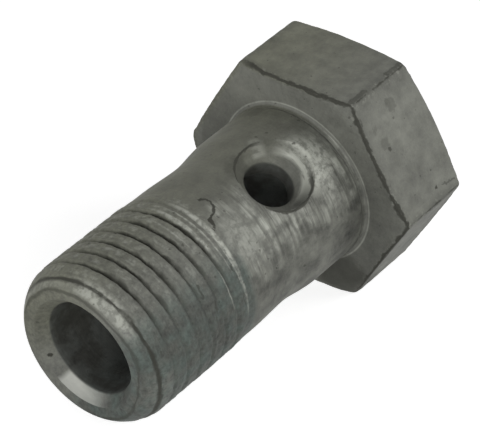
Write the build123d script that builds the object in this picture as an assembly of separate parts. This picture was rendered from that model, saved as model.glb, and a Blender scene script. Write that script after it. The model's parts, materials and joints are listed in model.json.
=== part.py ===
from build123d import *
from math import asin, atan2, degrees, hypot, radians, sqrt, tan
import os

# Banjo bolt with an M14 x 1.5 thread: a hollow bolt that clamps a ring-shaped banjo fitting
# and lets the fluid through. It is one turned piece. All sizes are in millimetres.
#
# It is built upright on the Z axis, with the bearing face under the head at z = 0, the head
# above it and the shank below it. The last step lays it down on one flat of its head.

# Hexagon head
across_flats = 19.0
head_height = 7.8
underside_circle = 19.4  # where the corner chamfer under the head starts
top_circle = 18.4  # where the corner chamfer on the top starts
corner_chamfer_angle = 16.0  # slope of both corner chamfers, in degrees

# Shank, from the bearing face down
shank_length = 26.1
head_fillet = 0.3
land_diameter = 14.0  # the land that centres the banjo fitting
land_length = 5.0
waist_diameter = 13.25  # the relief that lets the fluid reach the cross hole
waist_length = 7.8
waist_low_point = 3.7  # from the land to the thinnest place of the waist
plain_diameter = 13.55

# Threaded end
thread_diameter = 13.8  # over the crests
thread_length = 11.7  # from the end face
thread_run_out = 0.6  # the short cone behind the last crest
end_face_diameter = 11.6
end_rounding_length = 2.4  # the end is rounded over, from its face to the full thread

# Passage along the axis, blind, with the cone of a 118 degree drill at its bottom
bore_diameter = 8.0
bore_past_cross_hole = 0.7  # full bore beyond the cross hole's far side
drill_point_angle = 118.0
mouth_diameter = 9.6
mouth_depth = 0.95

# Hole across the shank, through both walls, with a spot-drilled mouth at each end
cross_hole_diameter = 4.1
cross_hole_setback = 6.25  # from the bearing face to the hole's axis
cross_hole_turn = 27.0  # from the normal of a hexagon flat, in degrees
spot_diameter = 6.3
spot_angle = 90.0
spot_depth = 0.75  # of the full spot diameter, below the land

# Radii and heights that follow from the sizes above
land_radius = land_diameter / 2
plain_radius = plain_diameter / 2
thread_radius = thread_diameter / 2
bore_radius = bore_diameter / 2
spot_radius = spot_diameter / 2
end_z = -shank_length
waist_top_z = -land_length
waist_low_z = waist_top_z - waist_low_point
waist_bottom_z = waist_top_z - waist_length
thread_top_z = end_z + thread_length
bore_bottom_z = bore_past_cross_hole + cross_hole_diameter / 2 - cross_hole_setback
chamfer_slope = tan(radians(corner_chamfer_angle))


def head():
    """The hexagon, with a flat facing +X, turned down at its corners on both ends."""
    hexagon = RegularPolygon(across_flats / 2, 6, major_radius=False, rotation=30)
    prism = extrude(hexagon, head_height)
    reach = across_flats  # a radius that clears the corners
    profile = Polyline(
        (0, 0),
        (underside_circle / 2, 0),
        (reach, (reach - underside_circle / 2) * chamfer_slope),
        (reach, head_height - (reach - top_circle / 2) * chamfer_slope),
        (top_circle / 2, head_height),
        (0, head_height),
        close=True,
    )
    return prism & revolve(make_face(Plane.XZ * profile), Axis.Z)


def shank():
    """The turned outside below the head, reaching a little way up into the head."""
    fillet_centre = Vector(land_radius + head_fillet, -head_fillet)
    fillet_middle = fillet_centre + Vector(-1, 1) * (head_fillet / sqrt(2))
    rounded_end = TangentArc(
        (thread_radius, end_z + end_rounding_length),
        (end_face_diameter / 2, end_z),
        tangent=(0, -1),
    )
    threaded = Polyline(
        (thread_radius, end_z + end_rounding_length),
        (thread_radius, thread_top_z),
        (plain_radius, thread_top_z + thread_run_out),
        (plain_radius, waist_bottom_z),
    )
    waist = Spline(
        (plain_radius, waist_bottom_z),
        (waist_diameter / 2, waist_low_z),
        (land_radius, waist_top_z),
        tangents=[(0, 1), (0, 1)],
    )
    land = Line((land_radius, waist_top_z), (land_radius, -head_fillet))
    fillet = ThreePointArc((land_radius, -head_fillet), fillet_middle, (fillet_centre.X, 0))
    core = Polyline(
        (fillet_centre.X, 0),
        (fillet_centre.X, head_height / 2),
        (0, head_height / 2),
        (0, end_z),
        (end_face_diameter / 2, end_z),
    )
    profile = Curve() + [rounded_end, threaded, waist, land, fillet, core]
    return revolve(make_face(Plane.XZ * profile), Axis.Z)


def axial_bore():
    """The blind passage, with its wider mouth at the end face and a drill point at its bottom."""
    point_height = bore_radius / tan(radians(drill_point_angle / 2))
    profile = Polyline(
        (0, end_z),
        (mouth_diameter / 2, end_z),
        (bore_radius, end_z + mouth_depth),
        (bore_radius, bore_bottom_z),
        (0, bore_bottom_z + point_height),
        close=True,
    )
    return revolve(make_face(Plane.XZ * profile), Axis.Z)


def cross_hole():
    """The hole through both walls, with the cone and the short wall that a spot drill leaves."""
    full_height = land_radius - spot_depth
    tip_height = full_height - spot_radius / tan(radians(spot_angle / 2))
    profile = Polyline(
        (0, tip_height),
        (spot_radius, full_height),
        (spot_radius, land_diameter),
        (0, land_diameter),
        close=True,
    )
    spot = revolve(make_face(Plane.XZ * profile), Axis.Z)
    drill = Cylinder(cross_hole_diameter / 2, 2 * land_diameter)
    tool = drill + spot + Rot(180, 0, 0) * spot
    return Pos(0, 0, -cross_hole_setback) * Rot(0, 0, cross_hole_turn) * Rot(0, 90, 0) * tool


def rest_angle():
    """How far the threaded end drops when the bolt lies on a flat's edge and its rounded end."""
    edge_setback = max(0, across_flats - underside_circle) / 2 * chamfer_slope
    step = thread_radius - end_face_diameter / 2
    rounding_radius = (end_rounding_length**2 + step**2) / (2 * step)
    run = shank_length - end_rounding_length + edge_setback
    drop = across_flats / 2 - (thread_radius - rounding_radius)
    return degrees(atan2(drop, run) - asin(rounding_radius / hypot(drop, run)))


def banjo_bolt():
    upright = head() + shank() - axial_bore() - cross_hole()
    return Rot(0, 90 - rest_angle(), 0) * upright


os.makedirs("parts", exist_ok=True)
bolt = banjo_bolt()
bolt.label = "banjo_bolt"
export_step(bolt, "parts/banjo_bolt.step")
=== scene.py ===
import json
from math import asin, cos, pi, radians, sin, tan

import bmesh
import bpy
import numpy as np
from mathutils import Matrix, Vector


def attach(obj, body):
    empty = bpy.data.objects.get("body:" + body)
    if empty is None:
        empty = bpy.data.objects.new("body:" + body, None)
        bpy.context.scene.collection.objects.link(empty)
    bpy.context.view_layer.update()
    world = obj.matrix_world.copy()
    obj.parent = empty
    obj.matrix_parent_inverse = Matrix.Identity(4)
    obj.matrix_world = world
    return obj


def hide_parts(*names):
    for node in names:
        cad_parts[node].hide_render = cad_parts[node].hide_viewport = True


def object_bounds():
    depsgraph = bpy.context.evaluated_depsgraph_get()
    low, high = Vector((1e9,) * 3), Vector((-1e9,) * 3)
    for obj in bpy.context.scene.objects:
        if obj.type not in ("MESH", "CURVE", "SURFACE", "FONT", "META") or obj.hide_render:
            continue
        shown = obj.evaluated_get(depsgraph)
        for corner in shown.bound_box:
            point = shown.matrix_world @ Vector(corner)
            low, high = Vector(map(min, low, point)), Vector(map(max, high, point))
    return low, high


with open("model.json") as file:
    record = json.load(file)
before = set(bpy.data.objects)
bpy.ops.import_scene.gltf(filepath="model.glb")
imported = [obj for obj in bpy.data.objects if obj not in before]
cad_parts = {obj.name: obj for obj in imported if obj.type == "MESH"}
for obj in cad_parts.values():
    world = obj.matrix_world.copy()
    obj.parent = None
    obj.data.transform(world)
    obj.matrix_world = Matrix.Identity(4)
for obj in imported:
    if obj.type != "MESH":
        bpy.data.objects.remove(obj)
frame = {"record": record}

cad_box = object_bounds()

# Banjo bolt: a hollow, cross-drilled bolt with a hexagon head, turned from one bar of steel,
# zinc plated and gone dull. Sizes are in millimetres. It is made upright on the Z axis, with
# the bearing face under the head at z = 0 and the shank below it, then laid down on one flat
# of its head. Angles round the axis are counted from the flat that ends up on top.

MM = 0.001
record = frame["record"]
mounts = {mount["name"]: mount for mount in record["mounts"]}


def mount_size(name, size):
    return mounts[name]["dims"][size]


# Where the bolt lies: its axis, from the threaded end to the head, rises by the rest angle.
axis_down = Vector(mounts["land"]["axis"])
rest_angle = asin(-axis_down.z)
lay_down = Matrix.Rotation(pi / 2 - rest_angle, 4, "Y")

# Hexagon head
across_flats = 19.0
head_height = 7.8
underside_circle = 19.4
top_circle = 18.4
corner_chamfer = radians(16.0)
corner_rounding = 0.34  # how far the six long corners are rounded over
edge_rounding = 0.13  # the same at the edges between a flat and an end
chamfer_rounding = 0.05  # the same where a turned-down corner meets an end

# Shank
shank_length = 26.1
land_radius = mount_size("land", "r_mm")
land_length = 5.0
head_fillet = 0.3
waist_radius = 6.625
waist_length = 7.8
waist_low_point = 3.7
plain_radius = 6.775
shank_edge = 7.1  # all the shank lies inside this radius
collar_groove_setback = 0.45  # the fine line that the parting of the land leaves
collar_groove_depth = 0.05

# Thread
thread_radius = mount_size("thread", "r_mm")
thread_pitch = 1.5
thread_length = 11.7
thread_run_out = 0.6
thread_start = 0.48  # share of a turn by which the thread's start is turned
thread_depth = 0.30
thread_root_round = 0.12
thread_crest_round = 0.12
thread_wander = 0.25  # the worn groove strays from its line
thread_wear = 0.12  # and its crests are knocked about by this much
thread_fill, fill_angle = 0.6, radians(300)  # grime fills part of its depth, round this angle
thread_rubbed, rubbed_angle = 0.6, radians(122)  # and rubbing has made it shallower round this one
thread_fade = 2.0  # the groove is whole this far from the plain shank
thread_end_round = 0.1  # how the rounded end and the thread blend
end_face_radius = 5.8
end_rounding_length = 2.4
end_step = thread_radius - end_face_radius
end_rounding = (end_rounding_length ** 2 + end_step ** 2) / (2 * end_step)

# Passages
bore_radius = mount_size("axial_bore", "r_mm")
mouth_radius = 4.8
mouth_depth = 0.95
drill_point = radians(118.0)
cross_radius = mount_size("cross_hole", "r_mm")
cross_setback = Vector(mounts["cross_hole"]["pos_m"]).length / MM
cross_turn = radians(27.0)
spot_radius = 3.15
spot_depth = 0.75
bore_bottom = 0.7 + cross_radius - cross_setback

columns = 240  # faces round the shank
rows_per_pitch = 20


# ---------- node trees

MATH, VECTOR, RANGE = "ShaderNodeMath", "ShaderNodeVectorMath", "ShaderNodeMapRange"
NOISE, MIX = "ShaderNodeTexNoise", "ShaderNodeMix"
JOIN, SPLIT = "ShaderNodeCombineXYZ", "ShaderNodeSeparateXYZ"
SMOOTH = {"interpolation_type": "SMOOTHSTEP"}


def add(tree, kind, inputs=(), operation=None, **settings):
    """Adds a node. Its inputs are numbers, colours, nodes or their sockets, in order or by name.

    A map range takes its value, then from low, from high, to low and to high."""
    node = tree.nodes.new(kind)
    if operation:
        node.operation = operation
    for name, value in settings.items():
        setattr(node, name, value)
    for key, value in inputs.items() if isinstance(inputs, dict) else enumerate(inputs):
        if isinstance(value, bpy.types.Node):
            value = value.outputs[0]
        if isinstance(value, bpy.types.NodeSocket):
            tree.links.new(value, node.inputs[key])
        else:
            node.inputs[key].default_value = value
    return node


def linear(code):
    """An sRGB hex colour as the linear colour that a shader takes."""
    parts = [int(code[i:i + 2], 16) / 255 for i in (1, 3, 5)]
    return [c / 12.92 if c <= 0.04045 else ((c + 0.055) / 1.055) ** 2.4 for c in parts] + [1.0]


# ---------- meshes

def mesh_of(name, points, faces):
    """A mesh from its points and faces."""
    mesh = bpy.data.meshes.new(name)
    mesh.from_pydata([tuple(p) for p in points], [], faces)
    mesh.update()
    return mesh


def skin(grid):
    """Faces over a grid of rings, points[ring][column], that closes on itself round each ring."""
    rings, around = grid.shape[:2]
    faces = []
    for i in range(rings - 1):
        for j in range(around):
            k = (j + 1) % around
            faces.append((i * around + j, i * around + k, (i + 1) * around + k, (i + 1) * around + j))
    return grid.reshape(-1, 3), faces


def turned(profile, around):
    """The skin that a line of (radius, height) points sweeps about the Z axis."""
    angle = np.arange(around) * 2 * pi / around
    radius, height = np.array(profile, float).T
    ring = np.stack([np.cos(angle), np.sin(angle)], -1)
    grid = np.zeros((len(profile), around, 3))
    grid[..., :2] = radius[:, None, None] * ring
    grid[..., 2] = height[:, None]
    return skin(grid)


def close_up(shell, mesh):
    """Joins rims that meet, drops what has no size, and turns every face outward."""
    bmesh.ops.remove_doubles(shell, verts=shell.verts, dist=1e-4)
    bmesh.ops.dissolve_degenerate(shell, edges=shell.edges, dist=1e-5)
    bmesh.ops.recalc_face_normals(shell, faces=shell.faces)
    shell.to_mesh(mesh)
    shell.free()


def solid_of(name, parts):
    """One closed mesh object from skins whose rims meet."""
    shell = bmesh.new()
    for points, faces in parts:
        made = [shell.verts.new(p) for p in points]
        for face in faces:
            shell.faces.new([made[i] for i in face])
    mesh = bpy.data.meshes.new(name)
    close_up(shell, mesh)
    piece = bpy.data.objects.new(name, mesh)
    bpy.context.scene.collection.objects.link(piece)
    return piece


def unevenness(points, wavelength, seed):
    """A gentle random height over the points, between about -1 and 1."""
    draw = np.random.default_rng(seed)
    total = 0
    for _ in range(14):
        direction = draw.normal(size=3)
        direction *= 2 * pi / wavelength / np.linalg.norm(direction) * draw.uniform(0.6, 1.4)
        total = total + np.sin(points @ direction + draw.uniform(0, 2 * pi))
    return total / 5


def larger(a, b, blend):
    """The larger of two, with the crease between them rounded over."""
    near = np.maximum(blend - np.abs(a - b), 0) / blend
    return np.maximum(a, b) + near * near * blend / 4


# ---------- hexagon head

def head_gap(p):
    """How far each point lies outside the head, less than nothing inside it."""
    radius = np.hypot(p[..., 0], p[..., 1])
    flats = [p[..., 0] * cos(k * pi / 3) + p[..., 1] * sin(k * pi / 3) - across_flats / 2 for k in range(6)]
    side = flats[0]
    for flat in flats[1:]:
        side = larger(side, flat, corner_rounding)
    slope, square = tan(corner_chamfer), cos(corner_chamfer)
    under = ((radius - underside_circle / 2) * slope - p[..., 2]) * square
    over = (p[..., 2] - head_height + (radius - top_circle / 2) * slope) * square
    low = larger(-p[..., 2], under, chamfer_rounding)
    high = larger(p[..., 2] - head_height, over, chamfer_rounding)
    ends = larger(low, high, chamfer_rounding)
    gap = larger(side, ends, edge_rounding)
    for angle, height, depth, width in edge_dents:
        corner = across_flats / 2 / cos(pi / 6)
        at = np.array([corner * cos(angle + pi), corner * sin(angle + pi), height])
        gap = gap + depth * np.exp(-((p - at) ** 2).sum(-1) / width ** 2)
    # The flats and their edges are uneven by a hundredth of a millimetre or two.
    on_side = np.clip((side + 0.4) / 0.4, 0, 1)
    ragged = unevenness(p, 0.8, 5) * 0.016 + unevenness(p, 3.4, 6) * 0.012
    return gap + ragged * on_side


# Knocks on the head's corners: angle from the top flat, height, depth and width. The last is a burr
# that a knock has raised.
edge_dents = [
    (radians(30), 0.1, 0.05, 0.5),
    (radians(90), 0.0, 0.08, 0.6),
    (radians(150), 0.0, 0.12, 0.8),
    (radians(-97), 0.1, -0.25, 1.0),
]


def spaced(low, high, count):
    """Heights from low to high that crowd together near both."""
    return (low + high) / 2 - (high - low) / 2 * np.cos(np.linspace(0, pi, count))


def hexagon_head():
    """The head, in rings from the middle of the bearing face, up the flats and in over the top."""
    half_side = across_flats / 2 * tan(pi / 6)
    along_flat = half_side * np.sin(np.linspace(-pi / 2, pi / 2, 41)[:-1])
    angle = np.concatenate([np.arctan2(along_flat, across_flats / 2) + k * pi / 3 for k in range(6)])
    reach = np.hypot(np.tile(along_flat, 6), across_flats / 2)
    slope = tan(corner_chamfer)
    rings = []

    def ring(radius, height):
        rings.append(np.stack([radius * np.cos(angle), radius * np.sin(angle), height + 0 * angle], -1))

    under = np.minimum(underside_circle / 2, reach)
    rise = np.maximum(reach - underside_circle / 2, 0) * slope
    over = np.minimum(top_circle / 2, reach)
    fall = head_height - np.maximum(reach - top_circle / 2, 0) * slope
    inner = land_radius - 0.2  # within this radius the shank covers the bearing face
    for share in (0, 0.5):
        ring(share * inner + 0 * angle, 0 * angle)
    for share in spaced(-1, 1, 28)[13:]:
        ring(inner + (under - inner) * share, 0 * angle)
    for share in (0.25, 0.5, 0.75, 1):
        ring(under + (reach - under) * share, rise * share)
    for share in spaced(0, 1, 34)[1:]:
        ring(reach, rise + (fall - rise) * share)
    for share in (0.75, 0.5, 0.25, 0):
        ring(over + (reach - over) * share, head_height + (fall - head_height) * share)
    for share in spaced(-1, 1, 28)[:13:-1][1:]:
        ring(over * share, head_height + 0 * angle)
    ring(0 * angle, head_height + 0 * angle)
    grid = np.array(rings)

    # Each point moves along its line from the middle of the head onto the rounded surface.
    middle = np.array([0, 0, head_height / 2])
    low, high = np.full(grid.shape[:2], 0.9), np.full(grid.shape[:2], 1.05)
    for _ in range(22):
        between = (low + high) / 2
        outside = head_gap(middle + (grid - middle) * between[..., None]) > 0
        high, low = np.where(outside, between, high), np.where(outside, low, between)
    grid = middle + (grid - middle) * low[..., None]
    return solid_of("hexagon_head", [skin(grid)])


# ---------- thread

def thread_tree():
    """Geometry nodes for the threaded skin, from the end face up to the plain shank.

    Its rows follow the thread's own slope, so crest and root run along clean lines of faces,
    and rows that would pass an end are held there and merged into its rim."""
    tree = bpy.data.node_groups.new("cut_thread", "GeometryNodeTree")
    for name, kind in thread_inputs.items():
        tree.interface.new_socket(name, in_out="INPUT", socket_type=kind)
    tree.interface.new_socket("Skin", in_out="OUTPUT", socket_type="NodeSocketGeometry")
    size = add(tree, "NodeGroupInput").outputs

    turns = add(tree, MATH, [size["Length"], size["Pitch"]], "DIVIDE")
    turns = add(tree, MATH, [turns], "CEIL")
    turns = add(tree, MATH, [turns, 1.0], "ADD")
    rows = add(tree, MATH, [turns, size["Rows"], 1.0], "MULTIPLY_ADD")
    around = add(tree, MATH, [size["Columns"], 1.0], "ADD")
    grid = add(tree, "GeometryNodeMeshGrid", [1.0, 1.0, around, rows])

    place = add(tree, SPLIT, [add(tree, "GeometryNodeInputPosition")])
    turn = add(tree, MATH, [place.outputs["X"], 0.5], "ADD")
    row = add(tree, MATH, [place.outputs["Y"], 0.5], "ADD")
    row = add(tree, MATH, [row, turns], "MULTIPLY")
    lift = add(tree, MATH, [row, turn], "ADD")
    lift = add(tree, MATH, [lift, 1.0], "SUBTRACT")
    lift = add(tree, MATH, [lift, size["Pitch"]], "MULTIPLY")
    height = add(tree, "ShaderNodeClamp", {"Value": lift, "Min": 0.0, "Max": size["Length"]})

    angle = add(tree, MATH, [turn, 2 * pi], "MULTIPLY")
    sideways = add(tree, MATH, [angle], "COSINE")
    forwards = add(tree, MATH, [angle], "SINE")
    spot = add(tree, JOIN, [sideways, forwards])
    spot = add(tree, VECTOR, {0: spot, "Scale": size["Crest Radius"]}, "SCALE")
    spot = add(tree, VECTOR, [spot, add(tree, JOIN, {"Z": height})], "ADD")

    # How the worn groove strays, and how its crests are knocked about
    stray = add(tree, NOISE, {"Vector": spot, "Scale": 0.7, "Detail": 4.0, "Roughness": 0.65})
    stray = add(tree, MATH, [stray, 0.5], "SUBTRACT")
    knocks = add(tree, NOISE, {"Vector": spot, "Scale": 1.8, "Detail": 3.0, "Roughness": 0.6})
    knocks = add(tree, RANGE, [knocks, 0.4, 0.75, 0.0, size["Wear"]])

    # Distance along the axis from the middle of the groove
    phase = add(tree, MATH, [height, size["Pitch"]], "DIVIDE")
    phase = add(tree, MATH, [phase, turn], "SUBTRACT")
    phase = add(tree, MATH, [phase, size["Start"]], "SUBTRACT")
    phase = add(tree, MATH, [phase], "FRACT")
    phase = add(tree, MATH, [phase, 0.5], "SUBTRACT")
    phase = add(tree, MATH, [phase], "ABSOLUTE")
    off_root = add(tree, MATH, [phase, size["Pitch"]], "MULTIPLY")
    off_root = add(tree, MATH, [stray, size["Wander"], off_root], "MULTIPLY_ADD")

    # A 60 degree groove with a round root and softened crests
    depth = add(tree, MATH, [off_root, -1 / tan(radians(30)), size["Depth"]], "MULTIPLY_ADD")
    depth = add(tree, MATH, [depth, size["Root Cut"], size["Root Round"]], "SMOOTH_MIN")
    depth = add(tree, MATH, [depth, 0.0, size["Crest Round"]], "SMOOTH_MAX")

    # The groove runs out towards the plain shank
    left = add(tree, MATH, [size["Length"], height], "SUBTRACT")
    fade = add(tree, RANGE, [left, size["Run Out"], size["Fade"]], **SMOOTH)
    depth = add(tree, MATH, [depth, fade], "MULTIPLY")

    # Grime fills it round one side, and rubbing has made it shallower round another
    filled = add(tree, MATH, [angle, size["Fill Angle"]], "SUBTRACT")
    filled = add(tree, MATH, [filled], "COSINE")
    filled = add(tree, RANGE, [filled, -0.1, 0.8, 0.0, size["Fill"]], **SMOOTH)
    rubbed = add(tree, MATH, [angle, size["Rubbed Angle"]], "SUBTRACT")
    rubbed = add(tree, MATH, [rubbed], "COSINE")
    rubbed = add(tree, RANGE, [rubbed, 0.72, 0.95, 0.0, size["Rubbed"]], **SMOOTH)
    filled = add(tree, MATH, [filled, rubbed], "MAXIMUM")
    filled = add(tree, MATH, [1.0, filled], "SUBTRACT")
    depth = add(tree, MATH, [depth, filled], "MULTIPLY")
    near_rim = add(tree, RANGE, [left, 0.0, size["Fade"]])
    depth = add(tree, MATH, [knocks, near_rim, depth], "MULTIPLY_ADD")
    outside = add(tree, RANGE, [left, 0.0, size["Fade"], size["Plain Radius"], size["Crest Radius"]],
                  **SMOOTH)
    threaded = add(tree, MATH, [outside, depth], "SUBTRACT")

    # The rounded end cuts through the first turns, and a trace of the groove is left in it
    short = add(tree, MATH, [size["End Length"], height], "SUBTRACT")
    short = add(tree, MATH, [short, 0.0], "MAXIMUM")
    short = add(tree, MATH, [short, 2.0], "POWER")
    across = add(tree, MATH, [size["End Rounding"], 2.0], "POWER")
    across = add(tree, MATH, [across, short], "SUBTRACT")
    across = add(tree, MATH, [across], "SQRT")
    across = add(tree, MATH, [across, size["End Rounding"]], "SUBTRACT")
    across = add(tree, MATH, [across, outside], "ADD")
    scored = add(tree, RANGE, [height, 0.4, 0.9, 0.0, 0.4])
    scored = add(tree, MATH, [scored, depth], "MULTIPLY")
    across = add(tree, MATH, [across, scored], "SUBTRACT")
    clear = add(tree, RANGE, [height, size["End Length"], size["Length"]])
    across = add(tree, MATH, [across, clear], "ADD")
    radius = add(tree, MATH, [threaded, across, size["Edge Round"]], "SMOOTH_MIN")
    # At its rim the skin keeps to the rounded end, so that it meets the end face
    held = add(tree, MATH, [height, 0.3], "DIVIDE", use_clamp=True)
    radius = add(tree, MIX, {"Factor": held, 2: across, 3: radius})

    x = add(tree, MATH, [sideways, radius], "MULTIPLY")
    y = add(tree, MATH, [forwards, radius], "MULTIPLY")
    z = add(tree, MATH, [height, size["Bottom"]], "ADD")
    wound = add(tree, "GeometryNodeSetPosition", {"Geometry": grid, "Position": add(tree, JOIN, [x, y, z])})
    joined = add(tree, "GeometryNodeMergeByDistance", {"Geometry": wound, "Distance": 1e-4})
    plain = add(tree, "GeometryNodeRealizeInstances", [joined])
    finished = add(tree, "GeometryNodeSetMaterial", {"Geometry": plain, "Material": size["Material"]})
    add(tree, "NodeGroupOutput", [finished])
    return tree


thread_inputs = dict.fromkeys((
    "Pitch", "Length", "Start", "Crest Radius", "Plain Radius", "Depth", "Root Cut", "Root Round",
    "Crest Round", "Run Out", "Fade", "End Length", "End Rounding", "Edge Round", "Wander", "Wear",
    "Fill", "Fill Angle", "Rubbed", "Rubbed Angle", "Bottom"), "NodeSocketFloat")
thread_inputs.update({"Columns": "NodeSocketInt", "Rows": "NodeSocketInt",
                      "Material": "NodeSocketMaterial"})


def thread_skin(material):
    """The threaded skin as points and faces."""
    sizes = {"Pitch": thread_pitch, "Length": thread_length + thread_run_out, "Columns": columns,
             "Rows": rows_per_pitch, "Start": thread_start, "Crest Radius": thread_radius,
             "Plain Radius": plain_radius, "Depth": thread_depth + thread_root_round,
             "Root Cut": thread_depth, "Root Round": thread_root_round, "Crest Round": thread_crest_round,
             "Run Out": thread_run_out, "Fade": thread_fade, "End Length": end_rounding_length,
             "End Rounding": end_rounding, "Edge Round": thread_end_round, "Wander": thread_wander,
             "Wear": thread_wear, "Fill": thread_fill, "Fill Angle": fill_angle,
             "Rubbed": thread_rubbed, "Rubbed Angle": rubbed_angle, "Bottom": -shank_length,
             "Material": material}
    tree = thread_tree()
    holder = bpy.data.objects.new("thread", bpy.data.meshes.new("thread"))
    bpy.context.scene.collection.objects.link(holder)
    winding = holder.modifiers.new("winding", "NODES")
    winding.node_group = tree
    for socket in tree.interface.items_tree:
        if socket.in_out == "INPUT":
            winding[socket.identifier] = sizes[socket.name]
    wound = bpy.data.meshes.new_from_object(holder.evaluated_get(bpy.context.evaluated_depsgraph_get()))
    points = np.array([v.co for v in wound.vertices])
    faces = [tuple(p.vertices) for p in wound.polygons]
    bpy.data.objects.remove(holder)
    return points, faces


# ---------- shank and its passages

def arc(centre, radius, start, stop, count):
    """Points along an arc, its angles in degrees."""
    return [(centre[0] + radius * cos(t), centre[1] + radius * sin(t))
            for t in np.radians(np.linspace(start, stop, count))]


def waist(count):
    """The shallow dip between the land and the plain part of the shank."""
    rows = []
    for z in np.linspace(-land_length, -land_length - waist_length, count):
        lower = -z - land_length - waist_low_point
        if lower < 0:
            share, top = -lower / waist_low_point, land_radius
        else:
            share, top = lower / (waist_length - waist_low_point), plain_radius
        rows.append((waist_radius + (top - waist_radius) * share * share * (3 - 2 * share), z))
    return rows


def shank(material):
    """The shank with its thread and the passage along its axis, closed at a point inside the head."""
    end = -shank_length
    inside_head = head_height / 2
    # From the axis, inside the head, out to the fillet and down the land, waist and plain part
    above = [(0, inside_head), (land_radius + head_fillet, inside_head),
             (land_radius + head_fillet + 0.02, 0.3), (land_radius + head_fillet + 0.01, 0.01)]
    above += arc((land_radius + head_fillet, -head_fillet), head_fillet, 92, 180, 7)
    groove = collar_groove_setback
    above += [(land_radius, -groove + 0.07), (land_radius - collar_groove_depth, -groove + 0.02),
              (land_radius - collar_groove_depth, -groove - 0.02), (land_radius, -groove - 0.07)]
    above += [(land_radius, z) for z in np.linspace(-groove - 0.3, -land_length + 0.15, 12)]
    above += waist(26)
    above += [(plain_radius, -z) for z in np.linspace(land_length + waist_length + 0.2,
                                                      shank_length - thread_length - thread_run_out, 5)]
    # In over the end face, then up the mouth and the passage to the drill's point
    point = bore_radius / tan(drill_point / 2)
    below = [(end_face_radius, end), (mouth_radius + 0.06, end), (mouth_radius, end + 0.02)]
    below += [(mouth_radius + (bore_radius - mouth_radius) * s, end + mouth_depth * s)
              for s in (0.06, 0.25, 0.5, 0.75, 0.95)]
    below += [(bore_radius, end + mouth_depth + 0.03)]
    below += [(bore_radius, z) for z in np.linspace(end + mouth_depth + 0.6, bore_bottom, 16)]
    below += [(0, bore_bottom + point)]
    return solid_of("shank", [turned(above, columns), thread_skin(material), turned(below, columns)])


def cross_drill():
    """What the drill and the spot drill take out, from both sides of the shank at once."""
    rim = land_radius - spot_depth
    foot = rim - (spot_radius - cross_radius)
    # Steps outward and upward: two faint rings in the cone, then its rim rounded over
    cone_steps = [(0.03, 0), (0.40, 0.34), (0.45, 0.36), (0.72, 0.62), (0.77, 0.70), (0.96, 0.90)]
    rim_steps = [(-0.06, -0.06), (0, 0.04), (0.14, 0.45), (0.24, 0.62), (0.42, 0.74), (0.7, 0.8)]
    half = [(cross_radius, 0), (cross_radius, foot - 0.10)]
    half += [(cross_radius + out, foot + up) for out, up in cone_steps]
    half += [(spot_radius + out, rim + up) for out, up in rim_steps]
    half += [(spot_radius + 0.7, 2 * land_radius), (0, 2 * land_radius)]
    profile = [(r, -z) for r, z in half[:0:-1]] + half
    tool = solid_of("cross_drill", [turned(profile, 96)])
    tool.data.transform(Matrix.Translation((0, 0, -cross_setback)) @ Matrix.Rotation(cross_turn, 4, "Z")
                        @ Matrix.Rotation(pi / 2, 4, "Y"))
    return tool


def cut(piece, tool, operation):
    """Joins a tool to a piece or takes it away, leaving a plain mesh."""
    step = piece.modifiers.new("step", "BOOLEAN")
    step.operation, step.object, step.solver = operation, tool, "EXACT"
    mesh = bpy.data.meshes.new_from_object(piece.evaluated_get(bpy.context.evaluated_depsgraph_get()))
    piece.modifiers.clear()
    shell = bmesh.new()
    shell.from_mesh(mesh)
    close_up(shell, mesh)
    piece.data = mesh
    bpy.data.objects.remove(tool)


# ---------- materials

def at(radius, turn, from_end):
    """A point on the upright bolt: radius, angle from the top flat, distance from the threaded end."""
    angle = radians(turn) + pi
    return (radius * cos(angle), radius * sin(angle), from_end - shank_length)


# The plate's colours, and those of the white paper below it
# The cool cast paints the shade low on the thread, and the olive one paints warmer light on the far side
grey_oxide, cool_shade_cast, warm_light_cast = "#666760", "#5a645e", "#66675a"
rubbed_and_highlit_plate, gleam_highlight_plate, knocked_plate = "#b5b7ad", "#b9bab3", "#9c9d94"
grime_shade_dark, grime_shade_light = "#282822", "#3c3c34"
passage_dark, passage_light = "#2f2f2c", "#4a4d4b"
paper_as_light, paper_seen = "#808080", "#e8e8e8"

# The sides of the bolt by their angle from the top flat: low, lit where the lamps put a highlight, and away
# from it
low_side_angle, lit_side_angle, far_side_angle = 120.0, 50.0, -50.0

# Dark scratches and grime lines: width, strength and the points that they run through
scratches = [
    (0.115, 1.0, [(6.77, 8.2, 13.14), (6.77, 10.4, 13.52), (6.76, 14.4, 13.64), (6.77, 18.3, 13.38),
                  (6.77, 20.9, 13.13), (6.77, 22.4, 12.61), (6.82, 24.1, 12.06)]),
    (0.15, 1.0, [(6.77, 23.6, 12.3), (6.82, 26.8, 12.1), (6.84, 29.0, 12.05)]),
    (0.08, 0.7, [(6.89, 26.0, 11.76), (6.88, 31.2, 11.77)]),
    (0.09, 0.5, [(10.5, 85.0, 31.6), (10.62, 86.5, 33.1)]),
    (0.08, 0.6, [(6.88, 55.0, 10.97), (6.88, 84.0, 11.02)]),
    (0.10, 0.6, [(6.88, 51.0, 7.36), (6.88, 60.0, 7.24)]),
    (0.09, 0.5, [(6.88, 66.0, 8.1), (6.88, 74.0, 8.0)]),
    (0.24, 0.6, [(10.8, 28.6, 26.5), (10.8, 28.4, 28.6)]),
    (0.22, 0.6, [(10.8, 28.6, 31.4), (10.7, 28.8, 33.3)]),
]
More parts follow.
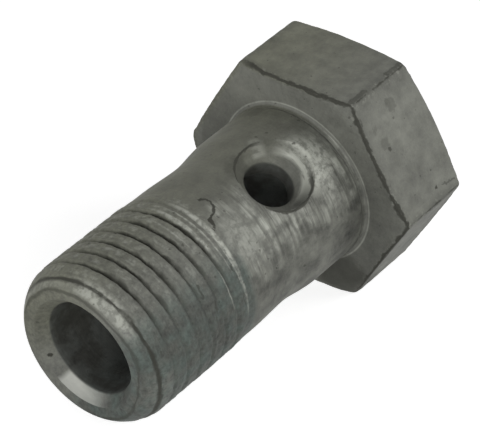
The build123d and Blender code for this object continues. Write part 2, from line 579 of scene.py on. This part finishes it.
# Dark spots: size, strength and place
spots = [
    (0.17, 1.0, (4.45, -120.6, 0.41)), (0.20, 0.7, (9.53, 55.8, 28.13)), (0.13, 0.9, (10.43, 84.4, 30.9)),
    (0.15, 0.8, (7.0, 19.7, 23.1)), (0.13, 0.8, (6.8, 30.3, 22.97)), (0.16, 0.7, (6.74, 94.7, 18.49)),
    (0.12, 0.6, (6.76, 60.0, 14.1)), (0.10, 0.7, (6.72, 78.0, 15.2)),
]
# Faint patches where something wet has dried, and two of painted shade: size, strength and place
stains = [
    (0.55, 0.30, (10.2, 39.0, 30.2)), (0.45, 0.30, (9.6, 52.0, 28.0)), (0.30, 0.25, (9.9, 62.0, 29.3)),
    # The large patch at 150 degrees is painted shade in the low corner of the bearing face by the floor,
    # and the last one is painted shade on the cross hole's upper wall
    (0.35, 0.25, (9.7, 44.0, 27.5)), (2.6, 0.65, (9.3, 150.0, 26.1)), (0.7, 0.25, (7.0, -24.0, 24.9)),
    (1.3, 0.38, (6.1, 8.0, 18.4)),
]
# Where fittings have turned against the shank, streaks under a painted highlight on the lit side: distance
# from the end, angle, their spans, strength
rubbed = [
    (16.1, 38.0, 1.6, 24.0, 1.0), (23.8, 42.0, 2.7, 24.0, 1.0), (18.5, 58.0, 2.2, 14.0, 0.8),
    (13.6, 24.0, 1.0, 12.0, 0.6),
]
# Where the high places are worn bright and carry painted highlights, given in the same way: the
# rounded end, where the thread runs out, and the side of the cross hole's mouth
worn_and_highlit = [
    (0.45, 22.0, 0.75, 32.0, 0.76), (0.2, -60.0, 0.5, 60.0, 0.25), (1.3, 100.0, 1.5, 22.0, 0.15),
    (11.42, 30.0, 0.28, 34.0, 1.0), (11.2, 52.0, 0.12, 20.0, 0.8), (10.75, 26.0, 0.1, 30.0, 0.8),
    (10.15, 18.0, 0.2, 30.0, 0.9), (9.75, 58.0, 0.1, 22.0, 0.7), (11.35, 74.0, 0.14, 20.0, 0.5),
    (8.95, 14.0, 0.1, 18.0, 0.6), (13.4, 46.0, 1.7, 20.0, 0.55), (22.6, 35.0, 2.6, 22.0, 1.0),
    (21.0, 5.0, 0.6, 9.0, 0.35),
]


def dull_zinc():
    """Zinc plate over turned steel, long gone dull: grey oxide with a painted warm olive cast, the
    lathe's fine rings still showing through, black grime in the thread and along the hexagon's edges,
    and painted highlights and shade."""
    material = bpy.data.materials.new("dull_zinc_plate")
    material.use_nodes = True
    tree = material.node_tree
    tree.nodes.clear()
    where = add(tree, "ShaderNodeTexCoord").outputs["Object"]
    upright = add(tree, "ShaderNodeMapping", {"Vector": where, "Rotation": (0, rest_angle - pi / 2, 0),
                                              "Scale": (1 / MM, 1 / MM, 1 / MM)}, vector_type="POINT")
    x, y, z = add(tree, SPLIT, [upright]).outputs
    radius = add(tree, VECTOR, [add(tree, JOIN, [x, y])], "LENGTH").outputs[1]
    turn = add(tree, MATH, [add(tree, MATH, [y, -1.0], "MULTIPLY"), add(tree, MATH, [x, -1.0], "MULTIPLY")],
               "ARCTAN2")
    turn = add(tree, MATH, [turn, 180 / pi], "MULTIPLY")
    from_end = add(tree, MATH, [z, shank_length], "ADD")

    # Noises, each with the size of its patches in millimetres
    noises = {}
    for name, size, detail in (("broad", 5.0, 3.0), ("patch", 1.6, 4.0), ("fleck", 0.42, 3.0),
                               ("grain", 0.16, 2.0), ("ragged", 0.7, 3.0)):
        noises[name] = add(tree, NOISE, {"Vector": upright, "Scale": 1 / size, "Detail": detail,
                                         "Roughness": 0.6})
    broad, patch, fleck, grain, ragged = noises.values()

    # Rings that the lathe leaves, 0.17 mm apart and drawn out 4 mm long round the axis. Real ones
    # are about 0.05 mm apart, too fine to show. Chatter marks are coarser, 0.4 mm apart.
    streaks = []
    for stretch, length in ((24.0, 4.0), (9.0, 3.8)):
        along = add(tree, MATH, [add(tree, MATH, [z, radius], "ADD"), stretch], "MULTIPLY")
        stretched = add(tree, JOIN, [x, y, along])
        streaks.append(add(tree, NOISE, {"Vector": stretched, "Scale": 1 / length, "Detail": 3.0,
                                         "Roughness": 0.6}))
    lathe, chatter = streaks

    # Distances from the hexagon's edges: from the side flats, from one end, from the long corners
    across = [add(tree, MATH, [add(tree, VECTOR, [upright, (cos(k * pi / 3), sin(k * pi / 3), 0)],
                                   "DOT_PRODUCT").outputs[1]], "ABSOLUTE") for k in range(3)]
    largest, smallest, total = [add(tree, MATH, [add(tree, MATH, across[:2], how), across[2]], how)
                                for how in ("MAXIMUM", "MINIMUM", "ADD")]
    second = add(tree, MATH, [add(tree, MATH, [total, largest], "SUBTRACT"), smallest], "SUBTRACT")
    inward = add(tree, MATH, [across_flats / 2, largest], "SUBTRACT")
    corner = add(tree, MATH, [across_flats / 2, second], "SUBTRACT")

    # Base tone: grey with painted casts, warm light on the far side and cool shade low on the thread,
    # mottled at every scale
    ways = [add(tree, VECTOR, [upright, at(1, side, shank_length)], "DOT_PRODUCT").outputs[1]
            for side in (low_side_angle, lit_side_angle, far_side_angle)]
    low_down, lit_side, far_side = [add(tree, MATH, [way, radius], "DIVIDE") for way in ways]
    downward = ways[0]
    low_down = add(tree, RANGE, [low_down, 0.05, 0.6], **SMOOTH)
    highlight_band = add(tree, RANGE, [lit_side, 0.8, 1.0], **SMOOTH)
    threaded = add(tree, RANGE, [from_end, thread_length + 0.9, thread_length + 0.2])
    cool = add(tree, MATH, [low_down, threaded], "MULTIPLY")
    cool = add(tree, MATH, [cool, add(tree, RANGE, [patch, 0.38, 0.6, 0.2, 1.0])], "MULTIPLY")
    tone = add(tree, MIX, {"Factor": cool, 6: linear(grey_oxide), 7: linear(cool_shade_cast)},
               data_type="RGBA").outputs[2]
    olive = add(tree, RANGE, [far_side, 0.2, 0.9, 0.0, 0.85])
    rings = add(tree, RANGE, [inward, 0.1, 0.7])
    rings = add(tree, MATH, [rings, add(tree, RANGE, [
        radius, land_radius, land_radius + 0.4, 1.0, 0.35])], "MULTIPLY")
    turned_tone = add(tree, MATH, [add(tree, MATH, [lathe, 0.5], "SUBTRACT"), rings], "MULTIPLY")
    on_thread = add(tree, MATH, [fleck, threaded], "MULTIPLY")
    on_thread_side = add(tree, MATH, [low_down, threaded], "MULTIPLY")
    on_flat = add(tree, RANGE, [inward, 0.5, 0.2])
    on_bearing = add(tree, MATH, [add(tree, RANGE, [z, -0.2, -0.1]), on_flat], "SUBTRACT", use_clamp=True)
    olive = add(tree, MATH, [on_bearing, -0.75, olive], "MULTIPLY_ADD", use_clamp=True)
    tone = add(tree, MIX, {"Factor": olive, 6: tone, 7: linear(warm_light_cast)}, data_type="RGBA").outputs[2]
    low_bearing = add(tree, MATH, [on_bearing, downward], "MULTIPLY")
    low_flat = add(tree, RANGE, [downward, across_flats / 2 - 0.2, across_flats / 2 - 0.08])
    on_flat_patch = add(tree, MATH, [on_flat, add(tree, MATH, [patch, 0.5], "SUBTRACT")], "MULTIPLY")
    low_patch = add(tree, MATH, [add(tree, MATH, [patch, 0.53], "SUBTRACT"),
                                 add(tree, MATH, [low_down, threaded], "SUBTRACT", use_clamp=True)],
                    "MULTIPLY")
    low_patch = add(tree, MATH, [low_patch, add(tree, MATH, [radius, shank_edge], "LESS_THAN")], "MULTIPLY")
    # Some of these terms paint shade: on the low side, low on the thread, on the flat facing down, towards
    # the bearing face's low side, and darker mottling low on the shank. Others paint light on the lit side,
    # the head's flats and the bearing face
    amounts = ((broad, 0.5), (patch, 0.9), (fleck, 0.7), (grain, 0.4))
    shade = 1 - sum(amount for noise, amount in amounts) / 2
    for noise, amount in amounts + ((turned_tone, 0.3), (low_down, -0.06), (on_thread_side, -0.40),
                                    (on_thread, 0.9), (threaded, -0.40), (lit_side, 0.12),
                                    (on_flat, 0.19), (on_flat_patch, 0.8), (on_bearing, 0.03),
                                    (low_bearing, -0.012), (low_flat, -0.2), (low_patch, 1.9)):
        shade = add(tree, MATH, [noise, amount, shade], "MULTIPLY_ADD")
    tone = add(tree, VECTOR, {0: tone, "Scale": shade}, "SCALE")

    # Distance along the axis from the middle of the thread's groove
    phase = add(tree, MATH, [from_end, thread_pitch], "DIVIDE")
    phase = add(tree, MATH, [phase, add(tree, MATH, [turn, 360.0], "DIVIDE")], "SUBTRACT")
    phase = add(tree, MATH, [phase, thread_start + 0.5], "SUBTRACT")
    phase = add(tree, MATH, [add(tree, MATH, [phase], "FRACT"), 0.5], "SUBTRACT")
    off_root = add(tree, MATH, [add(tree, MATH, [phase], "ABSOLUTE"), thread_pitch], "MULTIPLY")

    # Distance from the cross hole's axis, and the rings that the spot drill leaves round it
    off_hole = add(tree, VECTOR, [upright, (0, 0, -cross_setback)], "SUBTRACT")
    hole_way = (cos(cross_turn), sin(cross_turn), 0)
    beside = add(tree, VECTOR, [off_hole, hole_way], "CROSS_PRODUCT")
    beside = add(tree, VECTOR, [beside], "LENGTH").outputs[1]
    hole_rings = add(tree, VECTOR, [add(tree, JOIN, [beside, beside, beside]),
                                    tuple(8.0 * share for share in hole_way), off_hole], "MULTIPLY_ADD")
    hole_rings = add(tree, NOISE, {"Vector": hole_rings, "Scale": 0.4, "Detail": 3.0, "Roughness": 0.7})

    # Bright streaks where fittings have rubbed, and worn high places
    zones = []
    for marks in (rubbed, worn_and_highlit):
        zone = 0.0
        for end, angle, span, sweep, strength in marks:
            apart = add(tree, JOIN, [
                add(tree, MATH, [add(tree, MATH, [from_end, end], "SUBTRACT"), span], "DIVIDE"),
                add(tree, MATH, [add(tree, MATH, [turn, angle], "SUBTRACT"), sweep], "DIVIDE")])
            apart = add(tree, VECTOR, [apart], "LENGTH").outputs[1]
            here = add(tree, RANGE, [apart, 1.3, 0.4, 0.0, strength], **SMOOTH)
            zone = add(tree, MATH, [zone, here], "MAXIMUM")
        zones.append(zone)
    zone, high_places = zones
    below_head = add(tree, MATH, [z, 0.02], "LESS_THAN")
    on_shank = add(tree, MATH, [radius, shank_edge], "LESS_THAN")
    on_shank = add(tree, MATH, [on_shank, below_head], "MULTIPLY")
    outer = add(tree, RANGE, [radius, end_face_radius - 0.1, end_face_radius + 0.15])
    # A painted highlight along the plain shank on the lit side
    plain = add(tree, MATH, [1.0, threaded], "SUBTRACT")
    plain = add(tree, MATH, [plain, highlight_band], "MULTIPLY")
    zone = add(tree, MATH, [zone, add(tree, MATH, [plain, 0.6], "MULTIPLY")], "MAXIMUM")
    on_cone = add(tree, MATH, [beside, spot_radius], "LESS_THAN")
    off_cone = add(tree, MATH, [1.0, on_cone], "SUBTRACT")
    for factor in (on_shank, off_cone):
        zone = add(tree, MATH, [zone, factor], "MULTIPLY")
    for factor in (on_shank, outer):
        high_places = add(tree, MATH, [high_places, factor], "MULTIPLY")
    gathered = add(tree, RANGE, [patch, 0.42, 0.58, 0.25])
    bright = add(tree, RANGE, [chatter, 0.40, 0.62, 0.15, 0.9], **SMOOTH)
    for factor in (zone, gathered):
        bright = add(tree, MATH, [bright, factor], "MULTIPLY")
    mottle = add(tree, MATH, [ragged, fleck], "ADD")
    mottle = add(tree, MIX, {"Factor": on_cone, 2: mottle, 3: add(
        tree, MATH, [hole_rings, 2.6, -0.1], "MULTIPLY_ADD")})
    worn_and_lit_highs = add(tree, RANGE, [mottle, 0.8, 1.16, 0.3, 0.95], **SMOOTH)
    worn_and_lit_highs = add(tree, MATH, [worn_and_lit_highs, high_places], "MULTIPLY")
    bright = add(tree, MATH, [bright, worn_and_lit_highs], "MAXIMUM")
    # A painted highlight round the head's fillet
    fillet = add(tree, MATH, [add(tree, MATH, [radius, land_radius + head_fillet], "SUBTRACT")], "ABSOLUTE")
    fillet = add(tree, RANGE, [fillet, 0.10, 0.03, 0.0, 0.4])
    for factor in (below_head, add(tree, RANGE, [z, -0.4, -0.25]),
                   add(tree, RANGE, [patch, 0.34, 0.5, 0.3])):
        fillet = add(tree, MATH, [fillet, factor], "MULTIPLY")
    bright = add(tree, MATH, [bright, fillet], "MAXIMUM")
    # Lighter crests on the upper side of the thread: worn crests with painted highlights on them
    crest = add(tree, RANGE, [off_root, 0.4, 0.55])
    upper_thread = add(tree, MATH, [threaded, on_thread_side], "SUBTRACT")
    for factor in (upper_thread, outer, add(tree, RANGE, [ragged, 0.5, 0.68, 0.0, 0.35])):
        crest = add(tree, MATH, [crest, factor], "MULTIPLY")
    bright = add(tree, MATH, [bright, crest], "MAXIMUM")

    # A painted highlight on one side of the mouth's cone, with one sharp end to it
    lower_turn = add(tree, MATH, [add(tree, MATH, [y, x], "ARCTAN2"), 180 / pi], "MULTIPLY")
    lower_turn = add(tree, MATH, [patch, 8.0, lower_turn], "MULTIPLY_ADD")
    gleam = add(tree, RANGE, [lower_turn, -30.0, 18.0], **SMOOTH)
    in_mouth = add(tree, MATH, [from_end, 0.5, 0.46], "COMPARE")
    in_mouth = add(tree, MATH, [in_mouth, add(tree, MATH, [
        radius, mouth_radius + 0.05], "LESS_THAN")], "MULTIPLY")
    before_bore = add(tree, RANGE, [radius, bore_radius, bore_radius + 0.12])
    for factor in (in_mouth, before_bore, add(tree, RANGE, [lower_turn, 42.0, 36.0]),
                   add(tree, RANGE, [lathe, 0.3, 0.65, 0.6])):
        gleam = add(tree, MATH, [gleam, factor], "MULTIPLY")
    sunk = add(tree, RANGE, [chatter, 0.42, 0.32, 0.0, 0.5], **SMOOTH)
    sunk = add(tree, MATH, [sunk, zone], "MULTIPLY")

    # A ragged dark line along the thread's groove, most on top and less low on the sides: grime in the root
    # and painted shade in the groove
    drawn_out = add(tree, JOIN, [x, y, add(tree, MATH, [z, 3.0], "MULTIPLY")])
    drawn_out = add(tree, NOISE, {"Vector": drawn_out, "Scale": 0.6, "Detail": 2.5, "Roughness": 0.6})
    width = add(tree, RANGE, [drawn_out, 0.32, 0.68, 0.07, 0.30])
    root = add(tree, MATH, [off_root, width], "DIVIDE")
    root = add(tree, RANGE, [root, 1.5, 0.3], **SMOOTH)
    past_end = add(tree, RANGE, [from_end, 0.25, 0.55])
    before = add(tree, RANGE, [from_end, thread_length - 0.5, thread_length - 1.3])
    side = add(tree, RANGE, [turn, 22.0, 75.0, 1.0, 0.15], **SMOOTH)
    side = add(tree, MATH, [side, add(tree, RANGE, [turn, -36.0, -8.0, 0.05])], "MULTIPLY")
    side = add(tree, MATH, [side, add(tree, RANGE, [from_end, 2.2, 1.8])], "MAXIMUM")
    breaks = add(tree, RANGE, [patch, 0.36, 0.5, 0.45])
    for factor in (before, past_end, outer, side, breaks):
        root = add(tree, MATH, [root, factor], "MULTIPLY")

    # Grime along the hexagon's edges where hands and spanners don't reach
    rise = add(tree, MATH, [add(tree, MATH, [radius, underside_circle / 2], "SUBTRACT"),
                            tan(corner_chamfer)], "MULTIPLY")
    rise = add(tree, MATH, [rise, 0.0], "MAXIMUM")
    under = add(tree, MATH, [add(tree, MATH, [z, rise], "SUBTRACT")], "ABSOLUTE")
    under = add(tree, MATH, [under, inward], "MAXIMUM")
    on_head = add(tree, MATH, [radius, across_flats / 2 - 0.5], "GREATER_THAN")
    edge = add(tree, MATH, [under, corner], "MINIMUM")
    width = add(tree, RANGE, [ragged, 0.36, 0.64, 0.04, 0.26])
    width = add(tree, MATH, [fleck, 0.14, width], "MULTIPLY_ADD")
    along_end = add(tree, MATH, [under, corner], "LESS_THAN")
    width = add(tree, MATH, [width, add(tree, MATH, [along_end, 0.4, 0.6], "MULTIPLY_ADD")], "MULTIPLY")
    inset = add(tree, RANGE, [drawn_out, 0.42, 0.6, 0.0, 0.16])
    inset = add(tree, MATH, [inset, along_end], "MULTIPLY")
    line = add(tree, MATH, [add(tree, MATH, [edge, inset], "SUBTRACT")], "ABSOLUTE")
    line = add(tree, MATH, [line, width], "DIVIDE")
    line = add(tree, RANGE, [line, 1.3, 0.3], **SMOOTH)
    halo = add(tree, RANGE, [edge, 0.7, 0.1, 0.0, 0.22], **SMOOTH)
    halo = add(tree, MATH, [halo, breaks], "MULTIPLY")
    line = add(tree, MATH, [line, halo], "MAXIMUM")
    facing = add(tree, MATH, [add(tree, MATH, [turn, 60.0], "SUBTRACT")], "ABSOLUTE")
    facing = add(tree, RANGE, [facing, 84.0, 92.0, 1.0, 0.3])
    for factor in (on_head, facing):
        line = add(tree, MATH, [line, factor], "MULTIPLY")
    worn = add(tree, RANGE, [edge, 0.5, 0.15, 0.0, 0.6])
    for factor in (on_head, add(tree, RANGE, [fleck, 0.54, 0.64])):
        worn = add(tree, MATH, [worn, factor], "MULTIPLY")

    # A dark ring round the cross hole's mouth, fading out on the side towards the head, and a dark line at
    # the edge of the end face
    rim_fade_way = (-0.33 * sin(cross_turn), 0.33 * cos(cross_turn), 0.94)
    rim_fade_side = add(tree, VECTOR, [off_hole, rim_fade_way], "DOT_PRODUCT").outputs[1]
    rim = add(tree, MATH, [beside, spot_radius], "SUBTRACT")
    rim = add(tree, MATH, [add(tree, MATH, [rim], "ABSOLUTE"),
                           add(tree, RANGE, [ragged, 0.4, 0.62, 0.08, 0.2])], "DIVIDE")
    rim = add(tree, RANGE, [rim, 1.2, 0.4, 0.0, 0.9], **SMOOTH)
    rim = add(tree, MATH, [rim, add(tree, RANGE, [rim_fade_side, 2.5, 1.7, 0.2])], "MULTIPLY")
    rim = add(tree, MATH, [rim, on_shank], "MULTIPLY")
    lip = add(tree, MATH, [add(tree, MATH, [radius, end_face_radius - 0.2], "SUBTRACT"),
                           add(tree, MATH, [add(tree, MATH, [broad, 0.5], "SUBTRACT"), 1.6], "MULTIPLY")],
              "ADD")
    lip = add(tree, JOIN, [lip, from_end])
    lip = add(tree, VECTOR, [lip], "LENGTH").outputs[1]
    lip = add(tree, MATH, [lip, add(tree, RANGE, [patch, 0.38, 0.62, 0.06, 0.24])], "DIVIDE")
    lip = add(tree, RANGE, [lip, 1.5, 0.3, 0.0, 0.62], **SMOOTH)
    lip = add(tree, MATH, [lip, add(tree, RANGE, [lit_side, -0.75, -0.45])], "MULTIPLY")

    # Scratches, spots and dried drops, none of them quite straight or round
    shaken = add(tree, VECTOR, [noises["fleck"].outputs["Color"], (0.5, 0.5, 0.5)], "SUBTRACT")
    shaken = add(tree, VECTOR, [shaken, (0.5, 0.5, 0.5), upright], "MULTIPLY_ADD")
    grime_and_shade = root
    for width, strength, route in scratches:
        for start, stop in zip(route, route[1:]):
            start, stop = Vector(at(*start)), Vector(at(*stop))
            run = stop - start
            away = add(tree, VECTOR, [shaken, start], "SUBTRACT")
            share = add(tree, VECTOR, [away, run / run.length_squared], "DOT_PRODUCT").outputs[1]
            share = add(tree, "ShaderNodeClamp", [share])
            nearest = add(tree, VECTOR, {0: run, "Scale": share}, "SCALE")
            gap = add(tree, VECTOR, [away, nearest], "DISTANCE").outputs[1]
            mark = add(tree, RANGE, [gap, 1.4 * width, 0.6 * width, 0.0, strength], **SMOOTH)
            grime_and_shade = add(tree, MATH, [grime_and_shade, mark], "MAXIMUM")
    wetted = add(tree, VECTOR, [noises["ragged"].outputs["Color"], (0.5, 0.5, 0.5)], "SUBTRACT")
    wetted = add(tree, VECTOR, [wetted, (1.6, 1.6, 1.6), upright], "MULTIPLY_ADD")
    for marks, around, inner in ((spots, shaken, 0.7), (stains, wetted, 0.8)):
        for size, strength, place in marks:
            gap = add(tree, VECTOR, [around, at(*place)], "DISTANCE").outputs[1]
            mark = add(tree, RANGE, [gap, 1.3 * size, inner * size, 0.0, strength], **SMOOTH)
            grime_and_shade = add(tree, MATH, [grime_and_shade, mark], "MAXIMUM")

    # Pits: black specks a tenth of a millimetre across, about one to each square millimetre
    cells = add(tree, "ShaderNodeTexVoronoi", {"Vector": shaken, "Scale": 1.3})
    size = add(tree, "ShaderNodeSeparateColor", [cells.outputs["Color"]])
    size = add(tree, RANGE, [size, 0.35, 1.0, 0.02, 0.15])
    pits = add(tree, MATH, [cells.outputs["Distance"], size], "LESS_THAN")
    pits = add(tree, MATH, [pits, 0.5], "MULTIPLY")

    # A dark line in the groove that parts the land from its fillet
    collar = add(tree, MATH, [add(tree, MATH, [z, collar_groove_setback], "ADD")], "ABSOLUTE")
    collar = add(tree, RANGE, [collar, 0.14, 0.05, 0.0, 0.6])
    collar = add(tree, MATH, [collar, add(tree, RANGE, [patch, 0.34, 0.56, 0.3])], "MULTIPLY")
    collar = add(tree, MATH, [collar, on_shank], "MULTIPLY")

    for part in (line, rim, lip, sunk, pits, collar):
        grime_and_shade = add(tree, MATH, [grime_and_shade, part], "MAXIMUM")
    # The soot tone also paints shade: in the thread's groove, in the low corner of the bearing face and on
    # the cross hole's upper wall
    soot_and_shade = add(tree, MIX, {"Factor": ragged, 6: linear(grime_shade_dark), 7: linear(grime_shade_light)},
               data_type="RGBA").outputs[2]
    strong = add(tree, MATH, [grime_and_shade, 0.9], "MULTIPLY")

    # Inside the passages: painted shade with stains in it, less near the cross hole's mouths, and
    # lighter deep in the bore
    in_bore = add(tree, RANGE, [radius, bore_radius + 0.1, bore_radius], **SMOOTH)
    in_hole = add(tree, RANGE, [beside, cross_radius + 0.1, cross_radius], **SMOOTH)
    in_hole = add(tree, MATH, [in_hole, add(tree, RANGE, [radius, 5.7, 5.1])], "MULTIPLY")
    in_bore = add(tree, MATH, [in_bore, below_head], "MULTIPLY")
    inside = add(tree, MATH, [in_bore, in_hole], "MAXIMUM")
    inside = add(tree, MATH, [inside, 0.75], "MULTIPLY")
    passage_stain_and_shade = add(tree, RANGE, [patch, 0.4, 0.62])
    passage_stain_and_shade = add(tree, MIX, {"Factor": passage_stain_and_shade, 6: linear(passage_dark), 7: linear(passage_light)},
                  data_type="RGBA").outputs[2]
    lighter_deep_in_bore = add(tree, RANGE, [from_end, 13.0, 17.0, 0.0, 1.8])
    lighter_deep_in_bore = add(tree, MATH, [lighter_deep_in_bore, in_bore, 1.0], "MULTIPLY_ADD")
    passage_stain_and_shade = add(tree, VECTOR, {0: passage_stain_and_shade, "Scale": lighter_deep_in_bore}, "SCALE")

    # Over the base tone, in layers
    for amount, colour in ((bright, linear(rubbed_and_highlit_plate)), (gleam, linear(gleam_highlight_plate)),
                           (worn, linear(knocked_plate)), (strong, soot_and_shade), (inside, passage_stain_and_shade)):
        tone = add(tree, MIX, {"Factor": amount, 6: tone, 7: colour}, data_type="RGBA").outputs[2]

    # Relief in millimetres: mottled plate, lathe rings, and grime, painted shade and pits a little below it
    height = add(tree, MATH, [grain, 0.008], "MULTIPLY")
    for source, depth in ((fleck, 0.02), (turned_tone, 0.012), (patch, 0.03), (grime_and_shade, -0.02),
                          (add(tree, MATH, [chatter, zone], "MULTIPLY"), 0.05)):
        height = add(tree, MATH, [source, depth, height], "MULTIPLY_ADD")
    relief = add(tree, "ShaderNodeBump", {"Height": height, "Distance": MM})

    # Oxide has dulled the metal: it has a faint sheen, softer in the grime and painted shade, and sharper
    # where rubbed bright and where highlights are painted
    rough = add(tree, RANGE, [fleck, 0.3, 0.7, 0.60, 0.74])
    rough = add(tree, MATH, [grime_and_shade, 0.2, rough], "MULTIPLY_ADD")
    rough = add(tree, MATH, [bright, -0.15, rough], "MULTIPLY_ADD")
    surface = add(tree, "ShaderNodeBsdfPrincipled", {
        "Base Color": tone, "Metallic": 0.2, "Roughness": rough, "Normal": relief})
    add(tree, "ShaderNodeOutputMaterial", [surface])
    return material


# ---------- making

plate = dull_zinc()
bolt = shank(plate)
cut(bolt, hexagon_head(), "UNION")
cut(bolt, cross_drill(), "DIFFERENCE")
bolt.name = bolt.data.name = "banjo_bolt_body"
bolt.data.transform(Matrix.Scale(MM, 4) @ lay_down)
bolt.data.materials.clear()
bolt.data.materials.append(plate)
bolt.data.shade_smooth()
bolt.data.set_sharp_from_angle(angle=radians(32))
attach(bolt, "root")
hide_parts("banjo_bolt")


# ---------- floor, light and camera

bolt_middle = Vector((-0.007, 0, 0))
lamp_distance, lamp_size = 0.35, 0.20


def lamp(name, direction, power):
    """A square soft light that shines on the middle of the bolt from a direction."""
    light = bpy.data.lights.new(name, "AREA")
    light.shape, light.size, light.energy = "SQUARE", lamp_size, power
    holder = bpy.data.objects.new(name, light)
    direction = Vector(direction).normalized()
    holder.location = bolt_middle + direction * lamp_distance
    holder.rotation_euler = direction.to_track_quat("Z", "Y").to_euler()
    bpy.context.scene.collection.objects.link(holder)


camera_azimuth, camera_elevation, camera_roll = radians(-52.586), radians(33.293), radians(1.883)
camera_distance, camera_aim = 0.207785, Vector((-0.007180, 0, -0.000348))
back = Vector((sin(camera_azimuth) * cos(camera_elevation), -cos(camera_azimuth) * cos(camera_elevation),
               sin(camera_elevation)))
level = Vector((cos(camera_azimuth), sin(camera_azimuth), 0))
upward = back.cross(level)
right = level * cos(camera_roll) + upward * sin(camera_roll)
up = back.cross(right)
camera_data = bpy.data.cameras.new("camera")
camera_data.lens, camera_data.sensor_width = 198.356, 36.0
camera_data.clip_start = 0.01
camera = bpy.data.objects.new("camera", camera_data)
camera.matrix_world = Matrix.Translation(camera_aim + back * camera_distance) @ Matrix(
    (right, up, back)).transposed().to_4x4()
bpy.context.scene.collection.objects.link(camera)
bpy.context.scene.camera = camera


def towards(x, y, z):
    """A direction given to the right, up and back as the camera stands."""
    return right * x + up * y + back * z


lamp("left", towards(-0.95, 0.10, 0.30), 0.32)
lamp("front", towards(0, -0.40, 0.90), 0.74)
lamp("right", towards(0.90, 0.35, 0.25), 0.36)

# The floor: matt white paper. To the camera it glows a little, so it comes out an even white, and
# the bolt gets only a mid grey from below.
floor_mesh = mesh_of("floor", [(-3, -3, 0), (3, -3, 0), (3, 3, 0), (-3, 3, 0)], [(0, 1, 2, 3)])
floor_mesh.transform(Matrix.Translation((0, 0, cad_box[0][2])))
floor = bpy.data.objects.new("floor", floor_mesh)
bpy.context.scene.collection.objects.link(floor)
paper = bpy.data.materials.new("white_paper")
paper.use_nodes = True
tree = paper.node_tree
tree.nodes.clear()
seen = add(tree, "ShaderNodeLightPath")
shows = add(tree, MATH, [seen.outputs["Is Camera Ray"], seen.outputs["Is Glossy Ray"]], "MAXIMUM")
paper_tone = add(tree, MIX, {"Factor": shows, 6: linear(paper_as_light), 7: linear(paper_seen)},
                 data_type="RGBA").outputs[2]
diffuse = add(tree, "ShaderNodeBsdfDiffuse", [paper_tone])
glow = add(tree, "ShaderNodeEmission", {"Color": (1, 1, 1, 1), "Strength": add(
    tree, MATH, [shows, 0.75], "MULTIPLY")})
add(tree, "ShaderNodeOutputMaterial", [add(tree, "ShaderNodeAddShader", [diffuse, glow])])
floor_mesh.materials.append(paper)

# All round: white to the camera and in reflections, and dim as a light
world = bpy.data.worlds.new("studio")
bpy.context.scene.world = world
world.use_nodes = True
tree = world.node_tree
tree.nodes.clear()
seen = add(tree, "ShaderNodeLightPath")
shows = add(tree, MATH, [seen.outputs["Is Camera Ray"], seen.outputs["Is Glossy Ray"]], "MAXIMUM")
shows = add(tree, MATH, [shows, seen.outputs["Is Transmission Ray"]], "MAXIMUM")
strength = add(tree, RANGE, [shows, 0.0, 1.0, 0.2, 1.0])
sky = add(tree, "ShaderNodeBackground", {"Color": (1, 1, 1, 1), "Strength": strength})
add(tree, "ShaderNodeOutputWorld", [sky])

bpy.context.scene.view_settings.view_transform = "Standard"
